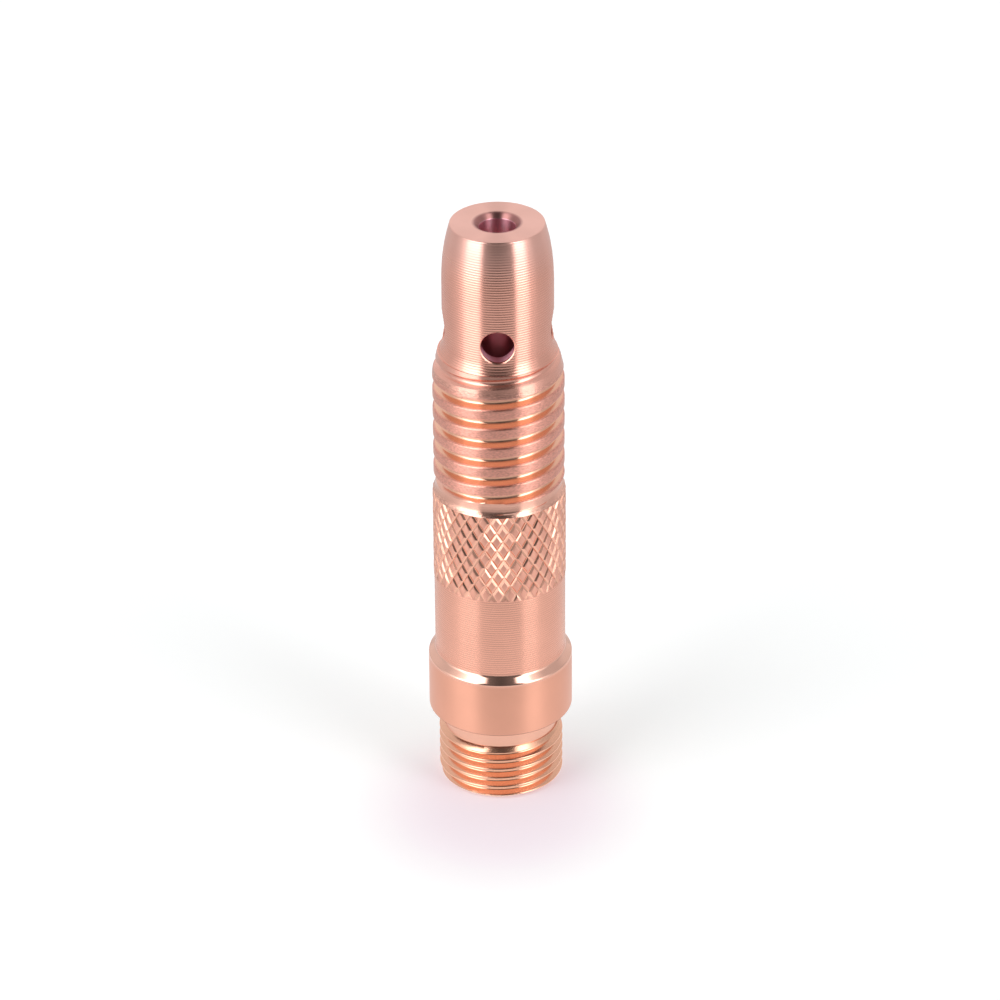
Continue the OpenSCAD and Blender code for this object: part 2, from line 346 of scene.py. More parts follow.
def eased(points: Sequence[Point], cuts: Sequence[float], steps: int = 4, rim: float = 0.012) -> list[Point]:
    """Rounds the inner corners of an open outline, with a point beside each that keeps the flats flat.

    Args:
        points: The outline.
        cuts: Distance from each inner corner at which its rounding starts.
        steps: Segments of a rounding.
        rim: Distance of the point beside a rounding from its end.

    Returns:
        The rounded outline.
    """
    def toward(start: Point, end: Point, reach: float) -> Point:
        """The point at a distance from the start on the way to the end."""
        share = reach / math.dist(start, end)
        return (start[0] + (end[0] - start[0]) * share, start[1] + (end[1] - start[1]) * share)

    reaches = [0.0, *cuts, 0.0]
    made = [points[0]]
    for k, corner in enumerate(points[1:-1], start=1):
        before, after, cut = points[k - 1], points[k + 1], reaches[k]
        if math.dist(corner, before) > cut + reaches[k - 1] + 3 * rim:
            made.append(toward(corner, before, cut + rim))
        first, last = toward(corner, before, cut), toward(corner, after, cut)
        for t in (j / steps for j in range(steps + 1)):
            ends = zip(first, corner, last)
            made.append(tuple((1 - t) ** 2 * f + 2 * t * (1 - t) * c + t * t * e for f, c, e in ends))
        if math.dist(corner, after) > cut + reaches[k + 1] + 3 * rim:
            made.append(toward(corner, after, cut + rim))
    return made + [points[-1]]


def feed_marks(
    outline: Callable[[float], float], low: float, high: float, feed: float, depth: Callable[[float], float],
) -> list[Point]:
    """Profile of a turned wall, with the shallow scallops of the tool's feed just under its outline.

    Args:
        outline: Radius of the wall at a height.
        low: Height where the rings start.
        high: Height where they end.
        feed: Distance from ring to ring.
        depth: Depth of a ring at a height.

    Returns:
        Points from low to high as (radius, height).
    """
    sink = (0.0, 0.75, 1.0, 0.75)
    count = len(sink) * round((high - low) / feed)
    heights = [low + (high - low) * k / count for k in range(count + 1)]
    return [(outline(z) - depth(z) * sink[k % len(sink)], z) for k, z in enumerate(heights)]


def radius_of(v: BMVert) -> float:
    """Distance of a vertex from the axis."""
    return math.hypot(v.co.x, v.co.y)


def set_radius(v: BMVert, r: float) -> None:
    """Moves a vertex along its own radius.

    Args:
        v: The vertex.
        r: Its new distance from the axis.
    """
    k = r / max(radius_of(v), 1e-9)
    v.co.x *= k
    v.co.y *= k


def turn_about_axis(bm: BMesh, degrees: float, verts: Sequence[BMVert]) -> None:
    """Turns vertices about the part's axis."""
    bmesh.ops.rotate(bm, cent=(0, 0, 0), matrix=Matrix.Rotation(math.radians(degrees), 3, "Z"), verts=verts)


def copy_of(bm: BMesh, geom: Geometry) -> list[BMVert]:
    """Duplicates a part of a mesh and gives the vertices of the copy."""
    made = bmesh.ops.duplicate(bm, geom=geom)["geom"]
    return [g for g in made if isinstance(g, BMVert)]


def link_mesh(bm: BMesh, name: str) -> Piece:
    """Makes an object of a mesh and links it to the scene.

    Args:
        bm: The mesh, which is freed.
        name: Name of the object.

    Returns:
        The object.
    """
    mesh = bpy.data.meshes.new(name)
    bm.to_mesh(mesh)
    bm.free()
    obj = bpy.data.objects.new(name, mesh)
    bpy.context.scene.collection.objects.link(obj)
    return obj


def lathe(profile: Sequence[Point], steps: int) -> BMesh:
    """Spins a closed profile of (radius, height) points into a closed ring.

    Args:
        profile: The points in order; the last joins the first.
        steps: Number of steps round the axis, a multiple of 8.

    Returns:
        The mesh, with its normals outwards.
    """
    bm = bmesh.new()
    verts = [bm.verts.new((0.0, -r, z)) for r, z in profile]
    edges = [bm.edges.new((verts[k], verts[(k + 1) % len(verts)])) for k in range(len(verts))]
    bmesh.ops.spin(
        bm, geom=verts + edges, cent=(0, 0, 0), axis=(0, 0, 1), dvec=(0, 0, 0),
        angle=math.tau / 8, steps=steps // 8, use_merge=False, use_duplicate=False,
    )
    eighth = bm.verts[:] + bm.edges[:] + bm.faces[:]
    for k in range(1, 8):
        turn_about_axis(bm, 45.0 * k, copy_of(bm, eighth))
    bmesh.ops.remove_doubles(bm, verts=bm.verts, dist=1e-4)
    bmesh.ops.recalc_face_normals(bm, faces=bm.faces)
    return bm


UP = Vector((0.0, 0.0, 1.0))


class Keep(Enum):
    """What a cut leaves of a mesh."""

    BOTH = "both sides"
    ABOVE = "what lies above the cut"
    BELOW = "what lies below the cut"


def cut_at(bm: BMesh, z: float, keep: Keep = Keep.BOTH, way: Vector = UP, near: float = 1e-5) -> None:
    """Cuts a mesh with a plane and may drop one side.

    Args:
        bm: The mesh.
        z: Place of the cut.
        keep: What is kept.
        way: The direction that the plane faces.
        near: Distance within which a vertex counts as on the plane.
    """
    bmesh.ops.bisect_plane(
        bm, geom=bm.verts[:] + bm.edges[:] + bm.faces[:], dist=near, plane_co=way * z, plane_no=way,
        clear_inner=keep is Keep.ABOVE, clear_outer=keep is Keep.BELOW,
    )


def rim_at(bm: BMesh, z: float) -> list[BMEdge]:
    """The open edges of a mesh at a height."""
    return [e for e in bm.edges if e.is_boundary and all(abs(v.co.z - z) < 1e-3 for v in e.verts)]


def line_bore(bm: BMesh, low: float, high: float, bore: float) -> None:
    """Closes an outer skin with two flat rings and a bore between them.

    Args:
        bm: The mesh.
        low: Height of the lower end.
        high: Height of the upper end.
        bore: Radius of the bore.
    """
    rims: list[BMEdge] = []
    for z in (low, high):
        made = bmesh.ops.extrude_edge_only(bm, edges=rim_at(bm, z))["geom"]
        for v in (g for g in made if isinstance(g, BMVert)):
            set_radius(v, bore)
        rims += [g for g in made if isinstance(g, BMEdge) and g.is_boundary]
    bmesh.ops.bridge_loops(bm, edges=rims)
    bmesh.ops.recalc_face_normals(bm, faces=bm.faces)


def carve(bm: BMesh, cutters: Sequence[BMesh]) -> BMesh:
    """Cuts shapes out of a mesh with exact Boolean modifiers.

    Args:
        bm: The mesh to cut, which is freed.
        cutters: The meshes to take away, which are freed.

    Returns:
        The cut mesh.
    """
    blank = link_mesh(bm, "blank")
    tools = [link_mesh(c, f"cutter_{k}") for k, c in enumerate(cutters)]
    for tool in tools:
        cut = blank.modifiers.new(tool.name, "BOOLEAN")
        cut.operation = "DIFFERENCE"
        cut.solver = "EXACT"
        cut.object = tool
    bpy.context.view_layer.update()
    shaped = bpy.data.meshes.new_from_object(blank.evaluated_get(bpy.context.evaluated_depsgraph_get()))
    made = bmesh.new()
    made.from_mesh(shaped)
    for obj in [blank, *tools]:
        mesh = obj.data
        bpy.data.objects.remove(obj)
        bpy.data.meshes.remove(mesh)
    bpy.data.meshes.remove(shaped)
    return made


# ---- sections of the body and the collet


@dataclass(kw_only=True)
class Section:
    """A section of the model, which becomes one piece.

    Attributes:
        name: Name of the piece.
        sharp: Angle between faces above which their edge stays sharp.
        body: The body that the piece rides on.
        node: The node that it replaces.
        slot: Its material slot, which is not used.
    """

    name: str
    sharp: float = 32.0
    body: str = "collet_body"
    node: str = "collet_body"
    slot: str = "body_copper"

    def mesh(self) -> BMesh:
        """The section's mesh, in millimetres."""
        raise NotImplementedError

    def build(self, mat: Material) -> Piece:
        """Turns the mesh into a smooth piece in metres, which rides on its body.

        Args:
            mat: The piece's material.

        Returns:
            The piece.
        """
        bm = self.mesh()
        bmesh.ops.scale(bm, vec=(MM, MM, MM), verts=bm.verts)
        obj = link_mesh(bm, self.name)
        obj.data.shade_smooth()
        obj.data.set_sharp_from_angle(angle=math.radians(self.sharp))
        obj.data.materials.append(mat)
        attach(obj, self.body)
        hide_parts(self.node)
        return obj


@dataclass(kw_only=True)
class ScrewThread(Section):
    """A right-hand 60-degree thread with flat crests and the main bore behind it.

    Attributes:
        major: Crest radius.
        depth: Radial depth of the groove.
        pitch: Pitch of the helix.
        crest: Share of the pitch that the crest takes.
        root: Share of the pitch that the groove's flat bottom takes.
        ease: Rounding of the crest's upper edge, the root's two corners and the crest's lower edge.
        low: Height of the lower end.
        high: Height of the upper end.
        phase: Height of a crest's lower edge on the camera's side.
        bends: Heights of extra rings of vertices, where the envelope bends.
        steps: Steps in one turn.
    """

    major: float
    depth: float
    pitch: float
    crest: float
    root: float
    ease: Quad
    low: float
    high: float
    phase: float
    bends: Sequence[float] = ()
    steps: int = 128

    def envelope(self, z: float) -> Point:
        """Smallest and largest radius of the section at a height."""
        raise NotImplementedError

    def profile(self) -> list[Point]:
        """Outline of one pitch, from the middle of a crest to the next.

        Returns:
            Points as (radius, height above the first crest's lower edge).
        """
        flank = (1 - self.crest - self.root) / 2
        bottom = self.major - self.depth
        corners = [
            (self.major, self.crest / 2), (self.major, self.crest), (bottom, self.crest + flank),
            (bottom, 1 - flank), (self.major, 1.0), (self.major, 1 + self.crest / 2),
        ]
        return eased([(r, u * self.pitch) for r, u in corners], self.ease)

    def mesh(self) -> BMesh:
        """Sweeps one pitch up one turn of the helix, repeats it, trims it and lines its bore.

        Returns:
            The closed mesh.
        """
        below = math.ceil((self.phase - self.low) / self.pitch) + 2
        start = self.phase - below * self.pitch
        turns = math.ceil((self.high - start) / self.pitch) + 1
        bm = bmesh.new()
        verts = [bm.verts.new((0.0, -r, start + z)) for r, z in self.profile()]
        edges = [bm.edges.new(pair) for pair in zip(verts, verts[1:])]
        bmesh.ops.spin(
            bm, geom=verts + edges, cent=(0, 0, 0), axis=(0, 0, 1),
            dvec=(0, 0, self.pitch / self.steps), angle=math.tau,
            steps=self.steps, use_merge=False, use_duplicate=False,
        )
        turn = bm.verts[:] + bm.edges[:] + bm.faces[:]
        for k in range(1, turns):
            bmesh.ops.translate(bm, vec=(0, 0, k * self.pitch), verts=copy_of(bm, turn))
        bmesh.ops.remove_doubles(bm, verts=bm.verts, dist=2e-3)
        cut_at(bm, self.low, Keep.ABOVE)
        cut_at(bm, self.high, Keep.BELOW)
        for z in self.bends:
            cut_at(bm, z)
        for v in bm.verts:
            least, most = self.envelope(v.co.z)
            set_radius(v, min(max(radius_of(v), least), most))
        line_bore(bm, self.low, self.high, BORE_R)
        return bm


@dataclass(kw_only=True)
class RearThread(ScrewThread):
    """The fine thread that screws into the torch head.

    Attributes:
        chamfer: Size of the chamfer at each end.
    """

    name: str = "rear_thread"
    major: float = 4.7625
    depth: float = 0.46
    pitch: float = 0.794
    crest: float = 0.14
    root: float = 0.16
    ease: Quad = (0.05, 0.07, 0.02, 0.04)
    low: float = Z_REAR
    high: float = Z_NECK
    phase: float = 1.02
    chamfer: float = 0.35

    def envelope(self, z: float) -> Point:
        """Smallest and largest radius at a height, with the crests drawn in at both ends."""
        nearest = min(z - self.low, self.high - z)
        return 0.0, self.major - max(0.0, self.chamfer - nearest)


@dataclass(kw_only=True)
class CupThread(ScrewThread):
    """The land on its hollow foot, and the coarse thread for the gas cup, with its tapered start.

    Attributes:
        land_r: Radius of the land.
        land_high: Height where the land ends and the thread starts.
        foot_r: Radius of the land's foot, where it meets the knurl.
        foot_len: Height of the foot.
        foot_power: How hollow the foot is; 1 is a cone.
        fill_fall: How fast the filling of the groove behind the land falls away, as radius by height.
        taper_r: Crest radius at the small end of the tapered start.
        taper_len: Length of the tapered start.
    """

    name: str = "cup_thread"
    major: float = 4.925
    depth: float = 0.58
    pitch: float = 1.6
    crest: float = 0.46
    root: float = 0.14
    ease: Quad = (0.09, 0.16, 0.015, 0.07)
    low: float = Z_LAND
    high: float = Z_NOSE
    phase: float = 34.85
    bends: Sequence[float] = (25.05, 25.15, 25.25, 25.35, 25.45, 25.6, 25.8, 26.0, 26.05)
    land_r: float = 4.73
    land_high: float = 26.05
    foot_r: float = 4.99
    foot_len: float = 1.05
    foot_power: float = 3.2
    fill_fall: float = 0.9
    taper_r: float = 4.53
    taper_len: float = 1.7

    def envelope(self, z: float) -> Point:
        """Smallest and largest radius: the land on its foot, then the crests, then the taper.

        Args:
            z: The height.

        Returns:
            The two radii.
        """
        up = z - self.low
        if z < self.land_high:
            hollow = max(0.0, 1 - up / self.foot_len) ** self.foot_power
            return self.foot_r - up * self.fill_fall, self.land_r + (self.foot_r - self.land_r) * hollow
        taper = max(0.0, z - self.high + self.taper_len) / self.taper_len
        return 0.0, self.major - (self.major - self.taper_r) * taper


@dataclass(kw_only=True)
class FlangedBarrel(Section):
    """The relief neck, the stop flange with its sloping shoulder, and the plain turned barrel.

    Attributes:
        neck_r: Radius of the neck.
        flange_r: Radius of the flange.
        barrel_r: Radius of the barrel.
        edge: Rounding of the flange's upper edge.
        fillet: Rounding at the foot of the barrel.
        slope: Angle of the cone between these two, from the axis.
        corner: Rounding of the two corners under the flange.
        plain: Height of the stretch above the fillet that has no feed marks.
        feed: Distance between the feed marks.
        mark: Depth of a feed mark.
        steps: Steps round the axis.
    """

    name: str = "stop_flange_and_barrel"
    neck_r: float = 4.35
    flange_r: float = 5.494
    barrel_r: float = 4.975
    edge: float = 0.24
    fillet: float = 0.3
    slope: float = 49.0
    corner: float = 0.06
    plain: float = 0.05
    feed: float = 0.19
    mark: float = 0.0165
    steps: int = 256

    def mesh(self) -> BMesh:
        """Turns the whole section in one profile, bore included.

        Returns:
            The closed mesh.
        """
        lean = math.radians(self.slope)
        rounds = self.edge + self.fillet
        cone = self.flange_r - self.barrel_r - rounds * (1 - math.cos(lean))
        z_edge = Z_SHOULDER - self.edge
        z_fillet = z_edge + rounds * math.sin(lean) + cone / math.tan(lean)
        c = self.corner
        profile = [(BORE_R, Z_NECK), (self.neck_r, Z_NECK), (self.neck_r, Z_FLANGE - c)]
        profile += arc(self.neck_r + c, Z_FLANGE - c, c, 180, 90, steps=3)
        profile += arc(self.flange_r - c, Z_FLANGE + c, c, -90, 0, steps=4)
        profile += [(self.flange_r, Z_FLANGE + 2 * c), (self.flange_r, z_edge - c)]
        profile += arc(self.flange_r - self.edge, z_edge, self.edge, 0, self.slope, steps=10)
        profile += arc(self.barrel_r + self.fillet, z_fillet, self.fillet, 180 + self.slope, 180, steps=12)
        low = z_fillet + self.plain
        profile += feed_marks(lambda z: self.barrel_r, low, Z_KNURL, self.feed, lambda z: self.mark)
        profile += [(BORE_R, Z_KNURL)]
        return lathe(profile, self.steps)


@dataclass(kw_only=True)
class KnurlBand(Section):
    """The diamond-knurled band: flat-topped diamonds between crossed grooves, wrapped round the axis.

    Attributes:
        radius: Radius over the diamonds.
        count: Diamonds side by side round the band.
        row: Height of one diamond.
        depth: Depth of the grooves.
        groove: Half the width of a groove at the top.
        floor: Half the width of its flat bottom.
        crown: Rounding of a diamond's edges.
        node_z: Height of a crossing of the grooves on the camera's side.
        node_angle: Turn of that crossing to the camera's right.
        lean: How far the columns of diamonds lean.
        shallow: Share of the grooves' depth at the band's lower end.
        fade: Height over which they reach their full depth.
        uneven: How far the size of a diamond strays, as a share.
        slip: How far it strays round the band and up.
        sunk: How far its top may lie too low.
        skew: How far it is turned.
        seed: Start of the random draws.
    """

    name: str = "knurled_band"
    sharp: float = 24.0
    radius: float = 5.02
    count: int = 33
    row: float = 1.53
    depth: float = 0.116
    groove: float = 0.198
    floor: float = 0.02
    crown: float = 0.024
    node_z: float = 22.14
    node_angle: float = -2.3
    lean: float = 1.3
    shallow: float = 0.2
    fade: float = 0.5
    uneven: float = 0.12
    slip: Point = (0.02, 0.035)
    sunk: float = 0.006
    skew: float = 3.5
    seed: int = 7

    def lattice(self) -> BMesh:
        """Lays whole diamonds out flat, just over the band's height and once round.

        Returns:
            The sheet, which closes on itself when wrapped.
        """
        wide = math.tau * self.radius / self.count
        tall = math.ceil((Z_LAND - Z_KNURL) / self.row) + 3
        cells = 2 * (self.count // 2 + tall // 2) + 4
        bm = bmesh.new()
        bmesh.ops.create_grid(bm, x_segments=cells, y_segments=cells, size=cells / 2)
        turn_about_axis(bm, 45.0, bm.verts)
        side = math.sqrt(0.5)
        bmesh.ops.scale(bm, vec=(side * wide, side * self.row, 1), verts=bm.verts)
        bmesh.ops.translate(bm, vec=(0, self.node_z, 0), verts=bm.verts)
        half = wide * self.count / 2
        shift = wide / 4

        def outside(f: bmesh.types.BMFace) -> bool:
            """True for a diamond past either end of the sheet, or more than a row over or under the band."""
            mid = f.calc_center_median()
            return not (-half <= mid.x + shift < half and Z_KNURL - self.row < mid.y < Z_LAND + self.row)

        bmesh.ops.delete(bm, geom=[f for f in bm.faces if outside(f)], context="FACES")
        if bm.faces[:][0].normal.z < 0:
            bmesh.ops.reverse_faces(bm, faces=bm.faces)
        return bm

    def raise_diamonds(self, bm: BMesh) -> None:
        """Insets the diamonds to their tops, strays them a little and rounds their edges.

        Args:
            bm: The flat sheet.
        """
        rng = random.Random(self.seed)
        tops = bm.faces[:]
        for reach, rise in ((self.floor, 0.0), (self.groove - self.floor, self.depth)):
            bmesh.ops.inset_individual(bm, faces=tops, thickness=reach, depth=rise, use_even_offset=True)
        for top in tops:
            mid = top.calc_center_median()
            size = rng.uniform(1 - self.uneven, 1 + self.uneven)
            slip = Vector((*(rng.uniform(-s, s) for s in self.slip), rng.uniform(-self.sunk, 0.0)))
            twist = Matrix.Rotation(math.radians(rng.uniform(-self.skew, self.skew)), 3, "Z")
            for v in top.verts:
                v.co = mid + twist @ (v.co - mid) * size + slip
        bmesh.ops.bevel(
            bm, geom=[e for top in tops for e in top.edges], offset=self.crown, offset_type="OFFSET",
            segments=2, profile=0.5, affect="EDGES", material=-1, clamp_overlap=True,
        )

    def wrap(self, bm: BMesh) -> None:
        """Wraps the sheet round the axis, with grooves that run out at the band's lower end.

        Args:
            bm: The flat sheet.
        """
        slope = math.tan(math.radians(self.lean))
        for v in bm.verts:
            z = v.co.y
            a = math.radians(270 + self.node_angle) + (v.co.x - slope * (z - self.node_z)) / self.radius
            full = min(1.0, max(0.0, (z - Z_KNURL) / self.fade))
            share = self.shallow + (1 - self.shallow) * full
            r = self.radius - (self.depth - min(v.co.z, self.depth)) * share
            v.co = (r * math.cos(a), r * math.sin(a), z)
        bmesh.ops.remove_doubles(bm, verts=bm.verts, dist=4e-3)

    def mesh(self) -> BMesh:
        """Raises the diamonds, trims the band, wraps it round the axis and lines its bore.

        Returns:
            The closed mesh.
        """
        bm = self.lattice()
        self.raise_diamonds(bm)
        for z, side in ((Z_KNURL, Keep.ABOVE), (Z_LAND, Keep.BELOW)):
            cut_at(bm, z, side, way=Vector((0.0, 1.0, 0.0)), near=1e-4)
        self.wrap(bm)
        line_bore(bm, Z_KNURL, Z_LAND, BORE_R)
        return bm


@dataclass(kw_only=True)
class Nose(Section):
    """The nose with its hollow foot, curved shoulder, gas holes, exit bore and inner seat.

    Attributes:
        foot_r: Radius of the foot, where it leaves the cup thread.
        radius: Radius of the straight part.
        tip_r: Radius that the curve reaches at the end face.
        foot_len: Height of the foot.
        cone: Share of the foot's flare that is a plain cone; the rest is hollow.
        curve_len: Height of the curved part.
        curve_power: How late the curve draws in; 1 is a cone.
        edge: Rounding of the end face's rim.
        exit_r: Radius of the exit bore.
        exit_len: Distance from the end face to the small end of the seat.
        mouth_round: Rounding of the mouth at the end face.
        mouth_slope: How far that rounding turns before the mouth's cone.
        mouth_cone: Width of the cone.
        lip: Rounding between the cone and the exit bore.
        seat_angle: Angle of the collet's seat from the axis.
        hole_r: Radius of the gas holes.
        hole_z: Height of the gas holes.
        holes: Number of gas holes.
        deburr: Size of the chamfer round a gas hole.
        feed: Distance between the feed marks.
        mark: Depth of a feed mark.
        mark_left: Share of that depth that is left at the end face.
        calm: Height over which the marks fade towards the end face.
        steps: Steps round the axis.
    """

    name: str = "nose"
    sharp: float = 28.0
    foot_r: float = 4.46
    radius: float = 4.15
    tip_r: float = 3.5
    foot_len: float = 0.8
    cone: float = 0.45
    curve_len: float = 5.0
    curve_power: float = 2.4
    edge: float = 0.12
    exit_r: float = 1.35
    exit_len: float = 3.4
    mouth_round: float = 0.3
    mouth_slope: float = 48.0
    mouth_cone: float = 0.22
    lip: float = 0.05
    seat_angle: float = 30.0
    hole_r: float = 1.25
    hole_z: float = 38.75
    holes: int = 4
    deburr: float = 0.09
    feed: float = 0.195
    mark: float = 0.0225
    mark_left: float = 0.2
    calm: float = 2.4
    steps: int = 240

    def wall(self, z: float) -> float:
        """Radius of the outer wall: a hollow flare, then straight, then a curve in to the tip.

        Args:
            z: The height.

        Returns:
            The radius.
        """
        z_straight = Z_NOSE + self.foot_len
        if z < z_straight:
            fall = (z_straight - z) / self.foot_len
            flare = self.cone * fall + (1 - self.cone) * fall * fall
            return self.radius + (self.foot_r - self.radius) * flare
        rise = max(0.0, z - Z_FACE + self.curve_len) / self.curve_len
        return self.radius - (self.radius - self.tip_r) * rise**self.curve_power

    def mark_at(self, z: float) -> float:
        """Depth of the feed marks at a height."""
        return self.mark * min(1.0, self.mark_left + (1 - self.mark_left) * (Z_FACE - z) / self.calm)

    def outer(self) -> list[Point]:
        """Profile of the outside.

        Returns:
            Points from the foot to the rim of the end face.
        """
        top = Z_FACE - self.edge
        points = feed_marks(self.wall, Z_NOSE, top, self.feed, self.mark_at)
        return points + arc(self.wall(top) - self.edge, top, self.edge, 12, 90, steps=6)

    def inner(self) -> list[Point]:
        """Profile of the bore.

        Returns:
            Points from the mouth at the end face down to the foot.
        """
        lean = math.radians(self.mouth_slope)
        rim = self.exit_r + self.lip
        rounded = rim + self.mouth_cone + self.mouth_round * math.sin(lean)
        z_round = Z_FACE - self.mouth_round
        points = arc(rounded, z_round, self.mouth_round, 90, 90 + self.mouth_slope, steps=10)
        z_rim = points[-1][1] - self.mouth_cone * math.tan(lean)
        points += arc(rim, z_rim - self.lip, self.lip, 150, 180, steps=3)
        z_seat_top = Z_FACE - self.exit_len
        z_seat = z_seat_top - (BORE_R - self.exit_r) / math.tan(math.radians(self.seat_angle))
        points += [(self.exit_r, z_seat_top), (BORE_R, z_seat)]
        bands = 12
        return points + [(BORE_R, z_seat + (Z_NOSE - z_seat) * k / bands) for k in range(1, bands + 1)]

    def hole(self, turn: float) -> BMesh:
        """Cutter of one gas hole, whose deburred mouth follows the round outer surface.

        Args:
            turn: Turn of the hole about the axis, in degrees.

        Returns:
            The cutter.
        """
        start, over = 1.0, 1.0
        bm = bmesh.new()
        reach = (start, self.radius - self.deburr, self.radius, self.radius + over)
        flare = (0.0, 0.0, self.deburr, self.deburr + over)
        verts = [bm.verts.new((x, self.hole_r + f, 0.0)) for x, f in zip(reach, flare)]
        edges = [bm.edges.new(pair) for pair in zip(verts, verts[1:])]
        bmesh.ops.spin(
            bm, geom=verts + edges, cent=(0, 0, 0), axis=(1, 0, 0), dvec=(0, 0, 0),
            angle=math.tau, steps=72, use_merge=True, use_duplicate=False,
        )
        bmesh.ops.remove_doubles(bm, verts=bm.verts, dist=1e-4)
        # Past its start the cutter is bent to the round surface, so the flare is as deep all the way round
        for v in bm.verts:
            if v.co.x > start + over / 2:
                offset = round(v.co.x - self.radius, 6)
                v.co.x = math.sqrt(max(self.radius**2 - v.co.y**2, 1.0)) + offset
        bmesh.ops.holes_fill(bm, edges=[e for e in bm.edges if e.is_boundary], sides=0)
        bmesh.ops.recalc_face_normals(bm, faces=bm.faces)
        turn_about_axis(bm, turn, bm.verts)
        bmesh.ops.translate(bm, vec=(0, 0, self.hole_z), verts=bm.verts)
        return bm

    def mesh(self) -> BMesh:
        """Turns the nose and drills its gas holes."""
        blank = lathe(self.outer() + self.inner(), self.steps)
        return carve(blank, [self.hole(HOLE_TURN + 360 / self.holes * k) for k in range(self.holes)])


@dataclass(kw_only=True)
class SplitCollet(Section):
    """The split collet: a thin tube whose slotted front grips the electrode.

    Attributes:
        tube_r: Outer radius of the tube.
        finger_r: Outer radius of the slender front.
        bore: Radius of the bore.
        tip_r: Radius of the coned tip.
        z_step: Height where the slender front starts.
        z_cone: Height where the cone starts.
        z_tip: Height of the tip.
        slots: Number of slots.
        slot_w: Width of a slot.
        slot_len: Length of a slot, from the tip.
        ease: Chamfer of the rear end.
        mouth: Chamfer of the bore at the rear end.
        lip: Chamfer of the bore at the tip.
        soft: Easing of the cone's two edges, across and along the axis.
        steps: Steps round the axis.
    """

    name: str = "split_collet"
    sharp: float = 30.0
    body: str = "collet"
    node: str = "collet"
    slot: str = "collet_copper"
    tube_r: float = 2.38
    finger_r: float = 1.9
    bore: float = 1.25
    tip_r: float = 1.5
    z_step: float = 32.09
    z_cone: float = 41.397
    z_tip: float = 42.09
    slots: int = 4
    slot_w: float = 0.45
    slot_len: float = 20.0
    ease: float = 0.2
    mouth: float = 0.15
    lip: float = 0.06
    soft: Point = (0.02, 0.03)
    steps: int = 160

    def profile(self) -> list[Point]:
        """Outline of the tube's wall.

        Returns:
            Points up the outside and back down the bore.
        """
        across, along = self.soft
        outside = [
            (self.bore + self.mouth, Z_REAR), (self.tube_r - self.ease, Z_REAR),
            (self.tube_r, Z_REAR + self.ease), (self.tube_r, self.z_step - (self.tube_r - self.finger_r)),
            (self.finger_r, self.z_step), (self.finger_r, self.z_cone - along),
            (self.finger_r - across, self.z_cone + across), (self.tip_r + across, self.z_tip - along),
            (self.tip_r - across, self.z_tip),
        ]
        inside = [(self.bore + self.lip, self.z_tip), (self.bore, self.z_tip - self.lip)]
        return outside + inside + [(self.bore, Z_REAR + self.mouth)]

    def cutter(self, turn: float) -> BMesh:
        """Cutter of one slot, a bar with a round lower end.

        Args:
            turn: Turn of the slot about the axis, in degrees.

        Returns:
            The cutter, from inside the bore to past the tube.
        """
        reach, middle, over = 3.0, 1.9, 1.0
        low = self.z_tip - self.slot_len
        height = self.slot_len + over
        bm = bmesh.new()
        bmesh.ops.create_cube(bm, size=1.0)
        bmesh.ops.scale(bm, vec=(reach, self.slot_w, height), verts=bm.verts)
        bmesh.ops.translate(bm, vec=(middle, 0, low + height / 2), verts=bm.verts)
        foot = [
            e for e in bm.edges
            if all(abs(v.co.z - low) < 1e-4 for v in e.verts) and abs(e.verts[0].co.x - e.verts[1].co.x) > 1
        ]
        # Just under half the width, so that the two roundings don't run into each other
        bmesh.ops.bevel(
            bm, geom=foot, offset=self.slot_w * 0.499, offset_type="OFFSET", segments=8, profile=0.5,
            affect="EDGES", material=-1, clamp_overlap=True,
        )
        turn_about_axis(bm, turn, bm.verts)
        return bm

    def mesh(self) -> BMesh:
        """Turns the tube and cuts its slots, between the gas holes.

        Returns:
            The closed mesh.
        """
        step = 360 / self.slots
        cutters = [self.cutter(HOLE_TURN + step / 2 + step * k) for k in range(self.slots)]
        return carve(lathe(self.profile(), self.steps), cutters)


# ---- stage


